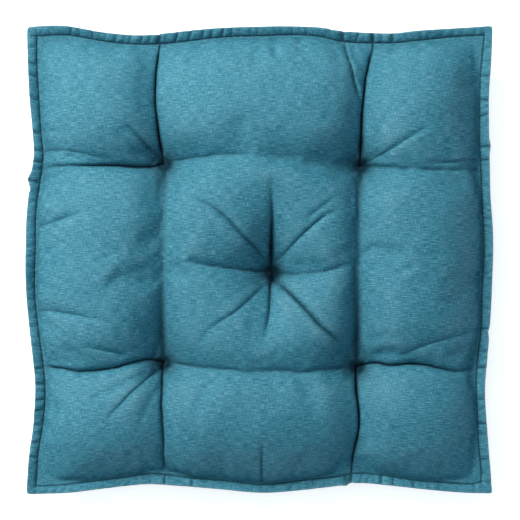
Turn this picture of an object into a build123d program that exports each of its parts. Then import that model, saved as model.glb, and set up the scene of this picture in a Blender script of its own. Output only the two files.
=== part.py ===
"""Tufted square floor cushion: two canvas panels, fibre filling, seams and tufting ties.

Frame: millimetres, +Z up, origin under the middle of the cushion on the surface it rests on.
"Front" is -Y, "back" is +Y, "left" is -X and "right" is +X.
"""

import os

from build123d import *

# Driving dimensions of the finished cushion
side = 600.0  # corner to corner along one edge, flange included
height = 115.0  # floor to the top of the upper panel
flange_height = 47.0  # the flange's middle plane above the floor
flange_width = 12.5  # outer edge of the flange to the foot of the crown
canvas = 1.0  # thickness of one layer of canvas

# Crown of each panel
upper_round = 58.0  # radius that the upper panel turns over from its side to its top
lower_round = 40.0  # the same on the underside
corner_round = 34.0  # radius of the crown's corners in plan
valley_round = 62.0  # radius of the valleys that run from tuft to tuft and on to the edges
upper_valley = 26.0  # depth of a valley in the upper panel
lower_valley = 14.0  # depth of a valley in the underside
edge_pull = 8.0  # the edge is drawn in this far where a valley meets it
edge_bend = 700.0  # radius of the edge's gentle bends

# Tufting
valley_offset = 126.0  # the valleys run this far from both middle lines
tufts = {  # the ties are placed by hand, so each stands a little off the regular grid
    "centre": (15.0, -16.0),
    "back_left": (-123.0, 123.0),
    "back_right": (128.0, 121.0),
    "front_left": (-124.0, -131.0),
    "front_right": (123.0, -136.0),
}
tuft_thickness = 26.0  # thickness of the cushion left at a tuft
dimple_round = 46.0  # radius of the hollow around a tuft
twine = 1.4  # diameter of the tufting twine
tuft_stitch = 7.0  # width of the short stitch that shows in each hollow
knot = 5.0  # diameter of the knot under each tuft
knot_spread = 1.0  # the loop's two ends enter the knot this far either side of its middle
tail = 12.0  # length of each trimmed end of twine
tail_lean = 30.0  # degrees that each end hangs away from straight down

# Threads
thread = 0.5  # diameter of sewing thread
topstitch_inset = 10.5  # the visible stitching runs this far inside the flange's outer edge
edge_seam_inset = 1.6  # the hidden construction seam runs this far inside it
corner_gap = 1.5  # a run of thread stops this far short of the next side's run

# Worked out from the above
half = side / 2
layers = 2 * canvas  # each half of the flange is face cloth over its turned-in allowance
flange_plane = Plane.XY.offset(flange_height)
tuft_top = flange_height + tuft_thickness / 2
tuft_bottom = flange_height - tuft_thickness / 2
turns = {"front": 0, "right": 90, "back": 180, "left": 270}
made = []


def finish(piece, label):
    """Names a finished piece and keeps it for export."""
    piece.label = label
    made.append(piece)
    return piece


# ---- Outline and crowns ----


def edge_points(inset, turn, level=0.0, gap=0.0):
    """Points along one edge, that far inside the flange's outer edge, turned to its side."""
    reach = half - inset
    drawn = edge_pull - reach
    corners = (gap - reach, -reach), (reach - gap, -reach)
    points = corners[0], (-valley_offset, drawn), (0, -reach), (valley_offset, drawn), corners[1]
    return [Vector(x, y, level).rotate(Axis.Z, turn) for x, y in points]


def scalloped_square(inset):
    """The cushion's outline in plan, drawn in where the valleys meet the edge."""
    with BuildSketch(flange_plane) as outline:
        with BuildLine():
            for turn in turns.values():
                FilletPolyline(*edge_points(inset, turn), radius=edge_bend)
        make_face()
    return outline.sketch


def crown(depth, up, rise, rolled, valley, dimple):
    """One panel's crown above (up = 1) or below (up = -1) the flange, depth under its face."""
    with BuildPart() as form:
        extrude(scalloped_square(flange_width + depth), amount=up * (rise - depth))
        fillet(form.edges().filter_by(Axis.Z), radius=corner_round - depth)
        end = form.faces().sort_by(Axis.Z)[-1 if up > 0 else 0]
        fillet(end.edges(), radius=rolled - depth)
        groove = flange_height + up * (rise - valley + valley_round)
        with Locations((-valley_offset, 0, groove), (valley_offset, 0, groove)):
            Cylinder(valley_round + depth, side, rotation=(90, 0, 0), mode=Mode.SUBTRACT)
        with Locations((0, -valley_offset, groove), (0, valley_offset, groove)):
            Cylinder(valley_round + depth, side, rotation=(0, 90, 0), mode=Mode.SUBTRACT)
        hollow = dimple + up * dimple_round
        with Locations(*[(x, y, hollow) for x, y in tufts.values()]):
            Sphere(dimple_round + depth, mode=Mode.SUBTRACT)
    return form.part


def upper_crown(depth=0.0):
    """The upper crown, or what lies that far under its face."""
    rise = height - flange_height
    return crown(depth, 1, rise, upper_round, upper_valley, tuft_top)


def lower_crown(depth=0.0):
    """The lower crown, flat where it rests on the floor."""
    return crown(depth, -1, flange_height, lower_round, lower_valley, tuft_bottom)


# ---- Threads ----


def thread_run(label, inset, level, turn):
    """One side's run of sewing thread, following the scalloped edge."""
    points = edge_points(inset, turn, level, corner_gap)
    with BuildPart() as run:
        with BuildLine() as route:
            FilletPolyline(*points, radius=edge_bend)
        with BuildSketch(Plane(origin=route.line @ 0, z_dir=route.line % 0)):
            Circle(thread / 2)
        sweep()
    return finish(run.part, label)


def tufting_tie(name, x, y):
    """A loop of twine through the cushion, knotted underneath, with two trimmed ends."""
    under = Vector(x, y, tuft_bottom)
    with BuildPart() as tie:
        with BuildLine() as loop:
            FilletPolyline(
                under - (knot_spread, 0, 0),
                under + (-tuft_stitch / 2, 0, tuft_thickness),
                under + (tuft_stitch / 2, 0, tuft_thickness),
                under + (knot_spread, 0, 0),
                radius=twine,
            )
        with BuildSketch(Plane(origin=loop.line @ 0, z_dir=loop.line % 0)):
            Circle(twine / 2)
        sweep()
        with Locations(under):
            Sphere(knot / 2, rotation=(0, 0, 45))
        for lean in (-tail_lean, tail_lean):
            with Locations(Location(under, (0, 180 + lean, 0))):
                Cylinder(twine / 2, tail, align=(Align.CENTER, Align.CENTER, Align.MIN))
    return finish(tie.part, f"tuft_tie_{name}")


ties = [tufting_tie(name, x, y) for name, (x, y) in tufts.items()]
needle_runs = [
    thread_run(f"topstitch_needle_thread_{name}", topstitch_inset, flange_height + layers, turn)
    for name, turn in turns.items()
]
bobbin_runs = [
    thread_run(f"topstitch_bobbin_thread_{name}", topstitch_inset, flange_height - layers, turn)
    for name, turn in turns.items()
]
edge_seams = [
    thread_run(f"edge_seam_thread_{name}", edge_seam_inset, flange_height, turn)
    for name, turn in turns.items()
]

# ---- Panels and filling ----

with BuildPart() as top_panel:
    extrude(scalloped_square(0), amount=layers)
    add(upper_crown())
    add(upper_crown(canvas), mode=Mode.SUBTRACT)
    add(needle_runs + edge_seams + ties, mode=Mode.SUBTRACT)
finish(top_panel.part, "top_panel")

with BuildPart() as bottom_panel:
    extrude(scalloped_square(0), amount=-layers)
    add(lower_crown())
    add(lower_crown(canvas), mode=Mode.SUBTRACT)
    add(bobbin_runs + edge_seams + ties, mode=Mode.SUBTRACT)
finish(bottom_panel.part, "bottom_panel")

with BuildPart() as fibre_filling:
    add(upper_crown(canvas))
    add(lower_crown(canvas))
    add(ties, mode=Mode.SUBTRACT)
finish(fibre_filling.part, "fibre_filling")

os.makedirs("parts", exist_ok=True)
for piece in made:
    export_step(piece, f"parts/{piece.label}.step")
    solids = len(piece.solids())
    print(f"{piece.label}: {solids} solid(s), {piece.volume / 1000:.2f} cm3, valid {piece.is_valid}")
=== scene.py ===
"""Looks of the tufted floor cushion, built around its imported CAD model.

The tables of valleys, creases and edges are in millimetres, seen from above with +X to the
right and +Y to the back. Meshes are made in millimetres and scaled to metres at the end.

Each panel is one square grid, with its lines closest together at the seam and the valleys.
plan() gives the grid points their places seen from above and crown() their heights. creased(),
puckers() and squeeze() add the folds, and simulate() lets the sewn bag settle as cloth.
"""

from math import atan2, cos, pi, sin

import bpy
import numpy as np
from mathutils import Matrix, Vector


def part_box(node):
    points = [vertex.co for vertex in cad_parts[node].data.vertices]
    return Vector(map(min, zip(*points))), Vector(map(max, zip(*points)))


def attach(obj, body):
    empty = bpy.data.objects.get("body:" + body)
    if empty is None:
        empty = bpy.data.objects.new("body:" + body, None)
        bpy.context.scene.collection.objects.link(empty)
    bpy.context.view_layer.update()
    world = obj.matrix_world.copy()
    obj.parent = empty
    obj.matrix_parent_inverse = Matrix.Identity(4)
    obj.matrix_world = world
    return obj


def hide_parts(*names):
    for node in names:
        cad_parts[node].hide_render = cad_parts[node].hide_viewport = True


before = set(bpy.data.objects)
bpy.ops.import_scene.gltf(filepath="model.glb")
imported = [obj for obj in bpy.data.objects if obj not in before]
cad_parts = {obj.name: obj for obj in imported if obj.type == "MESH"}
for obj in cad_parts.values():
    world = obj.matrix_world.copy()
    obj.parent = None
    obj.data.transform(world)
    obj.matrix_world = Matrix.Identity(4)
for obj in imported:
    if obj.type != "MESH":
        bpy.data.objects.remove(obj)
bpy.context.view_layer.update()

MM = 0.001
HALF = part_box("top_panel")[1][0] / MM  # middle to the flange's outer edge
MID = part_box("bottom_panel")[1][2] / MM  # the flange's middle plane above the floor
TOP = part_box("top_panel")[1][2] / MM  # the highest point of the upper panel
FLANGE = 12.5  # outer edge to the foot of the crown
FLANGE_LINES = [0.7, 1.6, 3, 4.8, 6.6, 8.2, 9.2, 9.9, 10.6, 11.4, 12.1, FLANGE]  # grid lines across it
SEWN = HALF - FLANGE  # middle to the foot of the crown
THIN = 0.75  # each half of the flange is this thick at its outer edge
VALLEYS_AT = 127.0  # the main valleys run about this far from the middle lines
CLOTH = 0.9  # thickness of the canvas
ROUNDING = 48.0  # a panel swells to its full height over about this distance
STITCH = 3.3  # length of one topstitch with its gap
STITCH_OUT = 1.1  # the topstitching runs this far outside the foot of the crown
STITCH_RADIUS = 0.46
SEAM_STITCH = 2.5  # the same for the hidden seam
SEAM_OUT = FLANGE - 1.6
SEAM_RADIUS = 0.2
STRAND = 0.42  # radius of each of the twine's two strands

# ---- Where the cushion's features lie ----

# How far each side is drawn in, as (distance along the side, inset).
EDGES = {
    "left": [(-300, 0), (-250, 3.5), (-210, 9), (-165, 11.5), (-130, 9), (-85, 3.5), (-40, 0), (10, -1),
             (60, 0.5), (100, 5), (135, 9.5), (165, 8), (205, 4.5), (250, 2), (300, 0.5)],
    "right": [(-300, 1.5), (-250, 6), (-210, 9), (-165, 11.5), (-125, 8.5), (-85, 5), (-35, 2.5), (30, 1),
              (85, 4.5), (130, 5.5), (180, 6.5), (220, 6), (260, 3), (300, 1)],
    "back": [(-300, 0.5), (-265, -1), (-240, 1), (-210, 6.5), (-180, 10), (-150, 11.5), (-120, 9), (-75, 4),
             (-35, 1.5), (30, 0), (75, 1.5), (105, 6.5), (165, 9), (200, 6), (250, 2.5), (300, -1)],
    "front": [(-300, -1), (-250, 1), (-210, 5.5), (-172, 10), (-140, 12.5), (-100, 10), (-50, 6), (-15, 2.5),
              (12, 1.5), (50, 4.5), (90, 9), (125, 14), (160, 11.5), (210, 6), (255, 2), (300, 0)],
}
# Small departures from those lines at the outer edge: (distance along, inset, half width).
NICKS = {
    "left": [(104, -3.8, 6.5), (92, 1.4, 4)],
    "right": [(146, -1.8, 6), (-92, 1.6, 6)],
    "back": [(108, 1.2, 3), (-131, 1, 4)],
    "front": [(109, -1.6, 4), (117, 1.6, 4)],
}


def tuft_place(key):
    """Where a tie stands, seen from above."""
    low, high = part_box(f"tuft_tie_{key}")
    return (low[0] + high[0]) / 2 / MM, (low[1] + high[1]) / 2 / MM


CENTRE, BACK_LEFT, BACK_RIGHT = (tuft_place(key) for key in ("centre", "back_left", "back_right"))
FRONT_LEFT, FRONT_RIGHT = tuft_place("front_left"), tuft_place("front_right")
TUFTS = {"centre": CENTRE, "back_left": BACK_LEFT, "back_right": BACK_RIGHT,
         "front_left": FRONT_LEFT, "front_right": FRONT_RIGHT}

# Valleys between pillows: (width, [(x, y, share of the full height left at the valley), ...]).
VALLEYS = [
    (1.9, [(*BACK_LEFT, 0.22), (-128, 153, 0.36), (-131, 180, 0.44), (-133, 206, 0.48),
           (-133, 230, 0.46), (-131, 256, 0.42), (-128, 286, 0.3)]),
    (2.2, [(*BACK_LEFT, 0.22), (-145, 119, 0.42), (-181, 120, 0.5), (-215, 120, 0.64),
           (-250, 120, 0.78), (-284, 118, 0.84)]),
    (2.6, [(*BACK_LEFT, 0.22), (-112, 126, 0.4), (-78, 130, 0.6), (-45, 133, 0.72),
           (-13, 133, 0.8)]),
    (9.0, [(-13, 133, 0.86), (20, 130, 0.78), (60, 124, 0.7), (100, 119, 0.56), (*BACK_RIGHT, 0.3)]),
    (3.8, [(*BACK_LEFT, 0.22), (-123, 100, 0.42), (-123, 76, 0.56), (-124, 25, 0.62),
           (-124, -26, 0.55), (-125, -78, 0.42), (-125, -108, 0.32), (*FRONT_LEFT, 0.2)]),
    (2.5, [(*FRONT_LEFT, 0.2), (-142, -127, 0.46), (-161, -130, 0.56), (-183, -136, 0.58),
           (-206, -140, 0.58), (-232, -141, 0.6), (-258, -138, 0.6), (-284, -136, 0.5)]),
    (2.6, [(*FRONT_LEFT, 0.2), (-125, -158, 0.48), (-125, -181, 0.58), (-124, -219, 0.66),
           (-123, -251, 0.64), (-123, -284, 0.5)]),
    (2.8, [(*FRONT_LEFT, 0.2), (-110, -132, 0.44), (-78, -136, 0.6), (-52, -138, 0.7), (-20, -140, 0.76),
           (20, -141, 0.74), (51, -141, 0.7), (90, -138, 0.58), (108, -137, 0.42), (*FRONT_RIGHT, 0.2)]),
    (1.9, [(*BACK_RIGHT, 0.18), (129, 154, 0.26), (130, 182, 0.33), (132, 203, 0.36), (135, 230, 0.36),
           (139, 249, 0.34), (144, 270, 0.3), (145, 286, 0.2)]),
    (3.4, [(*BACK_RIGHT, 0.2), (149, 119, 0.56), (187, 116, 0.76), (222, 114, 0.82), (256, 115, 0.86),
           (284, 115, 0.88)]),
    (3.8, [(*BACK_RIGHT, 0.18), (127, 100, 0.38), (126, 76, 0.5), (125, 25, 0.54), (124, -26, 0.48),
           (124, -78, 0.38), (123, -110, 0.3), (*FRONT_RIGHT, 0.18)]),
    (2.5, [(*FRONT_RIGHT, 0.18), (145, -132, 0.4), (167, -134, 0.5), (192, -132, 0.54),
           (212, -134, 0.6), (229, -138, 0.64), (246, -141, 0.72), (262, -140, 0.82), (284, -137, 0.84)]),
    (1.9, [(*FRONT_RIGHT, 0.18), (123, -163, 0.4), (125, -185, 0.44), (126, -209, 0.44), (124, -225, 0.42),
           (121, -241, 0.4), (118, -262, 0.36), (116, -285, 0.2)]),
    (2.0, [(*CENTRE, 0.2), (14, 6, 0.34), (14, 33, 0.58), (15, 69, 0.84), (14, 96, 0.97)]),
    (2.2, [(*CENTRE, 0.2), (13, -42, 0.56), (11, -67, 0.76), (8, -88, 0.9), (6, -99, 0.98)]),
    (2.3, [(*CENTRE, 0.2), (-16, -13, 0.66), (-43, -10, 0.8), (-70, -6, 0.9), (-100, -2, 0.98)]),
    (2.8, [(*CENTRE, 0.2), (47, -19, 0.66), (74, -16, 0.82), (92, -12, 0.92), (108, -7, 0.98)]),
]

# Creases: (width, lean, [(x, y, depth), ...]). Lean makes the left (+) or right (-) bank gentler.
CREASES = [
    # round the middle tuft
    (5.0, -0.3, [(15, -12, 10), (14, 20, 9.5), (15, 45, 6), (15, 69, 3.4), (15, 94, 0)]),
    (4.0, 0.5, [(14, -22, 5), (13, -42, 4.6), (11, -66, 4), (8, -88, 2), (5, -104, 0)]),
    (3.4, -0.5, [(12, -15, 3.6), (-16, -13, 3.4), (-43, -10, 3.6), (-70, -6, 2.8), (-92, -3, 1.2),
                 (-104, -1, 0)]),
    (3.4, 0.5, [(20, -19, 3.6), (47, -19, 3.6), (74, -16, 3.4), (92, -12, 2.2), (112, -6, 0)]),
    (2.6, 0.3, [(8, -2, 4), (-5, 14, 4.6), (-25, 34, 5), (-41, 52, 4.6), (-64, 69, 3),
                (-88, 82, 0)]),
    (3.0, 0.0, [(4, -5, 2.2), (-12, 6, 1.8), (-28, 16, 0)]),
    (3.4, -0.2, [(24, 0, 4), (38, 16, 4), (53, 32, 4.4), (67, 45, 4), (85, 58, 2.6),
                 (100, 64, 0)]),
    (5.0, 0.0, [(50, 44, 0), (64, 56, 2.2), (80, 69, 2.4), (102, 86, 0)]),
    (2.2, 0.1, [(18, -25, 7), (38, -43, 9), (56, -61, 9), (74, -81, 8.4), (92, -97, 5.5),
                (104, -107, 0)]),
    (5.0, 0.4, [(4, -34, 3), (-16, -52, 3), (-34, -67, 3), (-55, -81, 2), (-84, -110, 0)]),
    (9.0, 0.0, [(20, -44, 0), (34, -70, -2), (44, -96, -1.6), (52, -118, 0)]),
    # round the back left tuft
    (2.6, 0.2, [(-128, 128, 5), (-148, 150, 4.6), (-170, 173, 0)]),
    (5.0, 0.0, [(-135, 129, 2.4), (-161, 145, 2), (-186, 167, 0)]),
    (5.0, 0.4, [(-286, 141, 3.4), (-240, 139, 3.8), (-206, 132, 2.6), (-180, 127, 0)]),
    (4.6, 0.0, [(-285, 102, 4), (-258, 109, 3.2), (-236, 116, 0)]),
    (4.6, 0.3, [(-284, 42, 4.6), (-262, 47, 5), (-238, 55, 4), (-214, 62, 0)]),
    (4.4, 0.3, [(-286, -65, 5), (-262, -65, 4.6), (-236, -68, 3.6), (-208, -74, 2), (-186, -79, 0)]),
    (3.0, 0.0, [(-276, 165, 2), (-262, 166, 1.6), (-240, 163, 0)]),
    # round the front left tuft
    (4.2, 0.3, [(-134, -143, 4), (-148, -155, 4.4), (-162, -167, 4), (-180, -186, 2.8), (-198, -206, 0)]),
    (6.5, 0.3, [(-146, -145, 3.4), (-176, -158, 3), (-206, -173, 1.8), (-230, -188, 0)]),
    (7.0, 0.0, [(-130, -160, 2.4), (-146, -190, 2), (-158, -220, 0)]),
    (4.2, 0.4, [(-226, -108, 0), (-208, -111, 3.6), (-190, -115, 3.8), (-166, -121, 0)]),
    (5.0, 0.0, [(-164, -236, 0), (-167, -254, 2), (-166, -276, 1.4)]),
    (4.0, 0.0, [(-152, -232, 0), (-150, -252, 1.6), (-152, -272, 1)]),
    # round the back right tuft
    (2.0, -0.5, [(106, 287, 7), (113, 255, 6.4), (120, 224, 5), (126, 200, 0)]),
    (3.2, 0.4, [(140, 125, 4), (158, 136, 4), (173, 145, 3.6), (198, 160, 2.6), (218, 169, 0)]),
    (4.0, 0.0, [(140, 138, 2.4), (149, 166, 2.2), (168, 194, 0)]),
    (3.0, 0.3, [(286, 129, 2.4), (262, 128, 2.4), (232, 124, 1.4), (205, 122, 0)]),
    (3.0, 0.0, [(172, 280, 2.4), (168, 262, 1.6), (160, 246, 0)]),
    (6.0, 0.0, [(52, 282, 2.2), (48, 260, 1.6), (44, 236, 0)]),
    (6.0, 0.0, [(20, 282, 1.8), (20, 262, 1.4), (24, 240, 0)]),
    # round the front right tuft
    (4.0, 0.3, [(168, -125, 0), (184, -117, 2.6), (201, -109, 3.2), (222, -102, 3.4), (256, -93, 2.8),
                (285, -84, 1.6)]),
    (3.0, -0.4, [(122, -228, 2.4), (118, -244, 3), (113, -262, 2), (108, -276, 0)]),
    # along the front
    (3.0, 0.0, [(2, -285, 4), (2, -256, 3.6), (3, -222, 0)]),
    (2.6, 0.0, [(-117, -284, 2.4), (-118, -266, 2), (-120, -248, 0)]),
    (2.6, 0.0, [(-105, -284, 2.2), (-107, -268, 1.8), (-112, -250, 0)]),
    (2.6, 0.0, [(-86, -284, 2), (-90, -270, 1.6), (-97, -252, 0)]),
]

# The deeper puckers across the flange: (distance along the side, depth, slant). Others are random.
PUCKERS = {
    "left": [(-282, 0.7, 0), (-251, 0.8, 0), (-231, 0.9, 0), (-210, 0.8, 0.1), (-192, 0.9, 0),
             (-179, 0.8, 0), (-158, 1.1, 0.1), (-139, 1, 0), (-110, 0.8, 0), (-84, 0.7, 0),
             (101, 2.4, 0.3), (126, 1.5, 0.2), (141, 1.2, 0.3), (163, 0.9, 0.3),
             (207, 1.1, 0.5), (237, 1.3, 0.4), (253, 1.4, 0.3)],
    "right": [(-254, 1, 0), (-224, 0.9, 0), (-210, 1.2, 0), (-178, 1, 0), (-138, 1.4, 0), (-117, 1, 0),
              (-88, 1.2, 0), (128, 1.3, 0), (146, 1.5, 0), (186, 1.2, 0.1), (205, 0.8, 0.1), (235, 1.2, 0)],
    "back": [(-244, 1.1, 0.2), (-215, 1.3, -0.1), (-185, 1, 0.2), (-174, 1, 0.3), (-167, 1, 0.3),
             (-153, 1, 0.3), (-142, 1, 0.3), (-130, 3, 0.3), (-107, 1.3, 0.3), (-90, 1, 0.4),
             (-74, 1, 0.3), (-62, 0.9, 0.3), (-48, 0.8, 0.1), (-36, 0.7, 0), (60, 0.7, 0),
             (106, 3.4, 0), (145, 3.6, 0), (169, 1.8, 0)],
    "front": [(-142, 0.8, 0), (-122, 1.1, 0), (-88, 0.9, 0), (2, 0.8, 0), (110, 2.6, 0.2), (117, 3.2, 0),
              (156, 1, 0), (171, 1.1, 0), (199, 0.9, 0)],
}

# ---- Grid and outline ----


def bell(distance, width):
    """1 at no distance, and next to nothing at twice the width."""
    return np.exp(-((distance / width) ** 2))


def spot(dx, dy, radius):
    """The same round a point, seen from above."""
    return np.exp(-((dx**2 + dy**2) / radius**2))


def lift(field, where, values):
    """Raises a field to the given values where they are higher."""
    field[where] = np.maximum(field[where], values)


def spacing(x):
    """Distance between grid lines at a distance x from the middle: fine at seams and valleys."""
    at_valley = np.exp(-(((x - VALLEYS_AT) / 13) ** 4))
    return min(2.45 - at_valley, 0.5 + 0.15 * (SEWN - x))


def stations():
    """Grid lines from one outer edge to the other, the same in both directions."""
    inner = [0.0]
    while inner[-1] < SEWN:
        inner.append(inner[-1] + spacing(min(inner[-1], SEWN)))
    inner = np.array(inner) * SEWN / inner[-1]
    right = np.concatenate([inner, SEWN + np.array(FLANGE_LINES)])
    return np.concatenate([-right[:0:-1], right])


def through(points, steps):
    """A smooth curve through given points. steps says how many steps a leg takes."""
    p = np.array(points, float)
    p = np.vstack([2 * p[0] - p[1], p, 2 * p[-1] - p[-2]])
    out = []
    for a, b, c, d in zip(p, p[1:], p[2:], p[3:]):
        for u in np.linspace(0, 1, max(2, steps(c - b)), endpoint=False):
            out.append(0.5 * (2 * b + (c - a) * u + (2 * a - 5 * b + 4 * c - d) * u**2
                              + (3 * b - a - 3 * c + d) * u**3))
    return np.array(out + [p[-2]])


def curve(points, step=4.0):
    """A smooth curve seen from above, through points that each carry a further value."""
    return through(points, lambda leg: int(np.hypot(*leg[:2]) / step) + 1)


def space_curve(points, step=0.5):
    """A smooth curve in space."""
    return through(points, lambda leg: int(np.linalg.norm(leg) / step))


def inset(side, along, outward):
    """How far a side is drawn in at each distance along it; outward is 1 on the outer edge."""
    route = curve([(at, amount, 0) for at, amount in EDGES[side]])
    depth = np.interp(along, route[:, 0], route[:, 1])
    for at, amount, half_width in NICKS[side]:
        depth = depth + outward * amount * bell(along - at, half_width)
    return depth


def wander(side, along):
    """The foot of the crown strays this far from its even distance to the edge."""
    phase = {"left": 0.4, "right": 2.1, "back": 3.7, "front": 5.2}[side]
    strays = 0.7 * np.sin(along / 37 + phase) + 0.45 * np.sin(along / 15.5 + 2 * phase)
    return strays + 0.9 * bell(np.abs(along) - 128, 34) - 0.6


def plan(s, t):
    """Where the point (s, t) of the even square lies, seen from above, with the edges drawn in."""
    outward = np.clip((np.maximum(np.abs(s), np.abs(t)) - SEWN) / FLANGE, 0, 1)

    def drawn(side, across, along):
        """How far a side draws the points in."""
        share = np.clip(np.abs(across) / SEWN, 0, 1) ** 2.6
        stitched = np.clip((HALF - np.abs(across)) / FLANGE, 0, 1)
        stitched *= np.clip((np.abs(across) - 150) / 100, 0, 1)
        return inset(side, along, outward) * share + wander(side, along) * stitched

    rounded = 3.0 * spot(s - SEWN, t + SEWN, 9)  # one corner is sewn round
    x = s + np.where(s < 0, drawn("left", s, t), -drawn("right", s, t)) - rounded
    y = t + np.where(t < 0, drawn("front", t, s), -drawn("back", t, s)) + rounded
    return x, y


line = stations()
n = len(line)
FIRST = int(np.argmin(np.abs(line + SEWN)))  # the grid line at the foot of the crown
SEWN_LINES = slice(FIRST, n - FIRST)
S, T = np.meshgrid(line, line, indexing="ij")
Q = np.maximum(np.abs(S), np.abs(T)) - SEWN  # distance outside the foot of the crown
X, Y = plan(S, T)
# The outer corners are rounded a little.
tip = (np.clip(np.abs(S) - SEWN, 0, None) * np.clip(np.abs(T) - SEWN, 0, None) / FLANGE**2) ** 2.5
X = X - np.sign(S) * 1.3 * tip
Y = Y - np.sign(T) * 1.3 * tip


def near(points, x, y, reach):
    """For each grid point close to a curve: its offset from it, signed distance and value there."""
    route = curve(points)
    low, high = route[:, :2].min(0) - reach, route[:, :2].max(0) + reach
    where = np.nonzero((x > low[0]) & (x < high[0]) & (y > low[1]) & (y < high[1]))
    px, py = x[where], y[where]
    best = np.full(px.shape, np.inf)
    signed = best.copy()
    value = np.zeros(px.shape)
    offset = np.zeros((2, *px.shape))
    for a, b in zip(route, route[1:]):
        along = b[:2] - a[:2]
        length2 = max(along @ along, 1e-9)
        u = np.clip(((px - a[0]) * along[0] + (py - a[1]) * along[1]) / length2, 0, 1)
        dx, dy = px - a[0] - u * along[0], py - a[1] - u * along[1]
        d2 = dx * dx + dy * dy
        closer = d2 < best
        best[closer] = d2[closer]
        side = np.sign(along[0] * dy - along[1] * dx)
        signed[closer] = (side * np.sqrt(d2))[closer]
        value[closer] = (a[2] + u * (b[2] - a[2]))[closer]
        offset[:, closer] = np.stack([dx, dy])[:, closer]
    kept = np.abs(signed) < reach
    return tuple(w[kept] for w in where), offset[:, kept], signed[kept], value[kept]


# ---- Crowns ----


def inflate(spring):
    """Solves how far a sewn panel swells: 0 at its foot, near 1 between the valleys.

    The panel is a membrane under pressure, pulled back by springs, on the uneven grid. The sums
    are solved by conjugate gradients.
    """
    gap = np.diff(line[SEWN_LINES])
    around = (gap[1:] + gap[:-1]) / 2  # the width that belongs to each inner grid line
    area = around[:, None] * around[None, :]
    give = 1 / ROUNDING**2
    k = (give + spring[SEWN_LINES, SEWN_LINES][1:-1, 1:-1]) * area
    ax, ay = (1 / gap)[:, None] * around[None, :], around[:, None] * (1 / gap)[None, :]
    diagonal = k + ax[1:] + ax[:-1] + ay[:, 1:] + ay[:, :-1]

    def apply(v):
        """The pull on each point when the panel stands at the heights v."""
        out = diagonal * v
        out[1:] -= ax[1:-1] * v[:-1]
        out[:-1] -= ax[1:-1] * v[1:]
        out[:, 1:] -= ay[:, 1:-1] * v[:, :-1]
        out[:, :-1] -= ay[:, 1:-1] * v[:, 1:]
        return out

    v = np.zeros_like(area)
    r = give * area
    z = r / diagonal
    p = z.copy()
    rz = (r * z).sum()
    for _ in range(500):
        ap = apply(p)
        alpha = rz / (p * ap).sum()
        v += alpha * p
        r -= alpha * ap
        if np.abs(r).max() < 1e-9:
            break
        z = r / diagonal
        rz, old = (r * z).sum(), rz
        p = z + (rz / old) * p
    full = np.zeros((n, n))
    full[FIRST + 1 : n - FIRST - 1, FIRST + 1 : n - FIRST - 1] = v
    return np.clip(full, 0, None)


def valley_spring(soften):
    """How firmly each grid point is held down, from the valleys. soften lifts them all."""
    spring = np.zeros((n, n))
    for width, points in VALLEYS:
        where, _, d, left = near(points, X, Y, 4 * width)
        left = np.clip(left + soften * (1 - left), 0.12, 0.995)
        firm = (1 / left**2 - 1) * 2 / ROUNDING / (width * 1.77)
        lift(spring, where, firm * bell(d, width))
    for x, y in TUFTS.values():
        spring = np.maximum(spring, 0.35 * spot(X - x, Y - y, 5.5))
    return spring


def sagging():
    """Share of the height lost where pillows slope down to the valleys and tufts between them."""
    sag = np.zeros((n, n))
    for _, points in VALLEYS:
        where, _, d, left = near(points, X, Y, 70)
        lift(sag, where, 0.2 * (1.1 - left) * bell(d, 27))
    for name, (x, y) in TUFTS.items():
        deep, wide = (0.3, 40) if name == "centre" else (0.36, 34)
        around = deep * spot(X - x, Y - y, wide)
        sag = sag + around - sag * around
    return sag


def squeeze(reach, most):
    """Plan shift that presses the walls of each valley and crease together, closing it to a slit."""
    shift = np.zeros((2, n, n))
    marks = [(reach, p, most if width < 2.1 else 0.72 * most) for width, p in VALLEYS if width < 3]
    marks += [(1.5 * width, p, 0) for width, _, p in CREASES if width < 5.2]
    for wide, points, at_most in marks:
        where, offset, d, value = near(points, X, Y, 3 * wide)
        firm = at_most * (1.15 - value) / 0.75 if at_most else 0.15 * value
        move = -offset * np.clip(firm, 0, at_most or 0.7) * bell(d, wide)
        bigger = np.hypot(*move) > np.hypot(*shift[(slice(None), *where)])
        spots = tuple(w[bigger] for w in where)
        shift[(slice(None), *spots)] = move[:, bigger]
    fade = np.clip(-Q / 4, 0, 1)
    for x, y in TUFTS.values():
        fade = fade * (1 - 0.35 * spot(X - x, Y - y, 9))
    return shift * fade * fade * (3 - 2 * fade)


def groove(across, width, lean):
    """A crease's cross-section: sharp at the bottom, with one bank gentler than the other."""
    u = across / (width * (1 + lean * np.sign(across)))
    return np.exp(-(np.sqrt(u * u + 0.09) - 0.3) * 1.15)


def lumps(seed, scale, count=60):
    """Gentle unevenness of the filling, about 1 high."""
    source = np.random.default_rng(seed)
    out = np.zeros((n, n))
    for _ in range(count):
        angle, phase = source.uniform(0, 2 * pi, 2)
        wave = 2 * pi / (scale * source.uniform(0.7, 1.8))
        out += np.sin((X * cos(angle) + Y * sin(angle)) * wave + phase)
    return out / np.sqrt(count / 2)


def gathers(seed, height):
    """Short wrinkles that run in from the flange all round, up to height deep."""
    source = np.random.default_rng(seed)
    out = np.zeros((n, n))
    inward = {"left": SEWN + S, "right": SEWN - S, "back": SEWN - T, "front": SEWN + T}
    for side, across in inward.items():
        along = T if side in ("left", "right") else S
        at = -SEWN + 8
        while at < SEWN - 6:
            width, reach = source.uniform(2.2, 4.5), source.uniform(7, 26)
            deep, slant = source.uniform(0.25, 1) ** 1.5 * height, source.uniform(-0.35, 0.35)
            d = along - at - slant * across
            out -= deep * bell(d, width) * np.exp(-np.clip(across, 0, None) / reach)
            at += source.uniform(6, 19)
    return out


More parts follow.
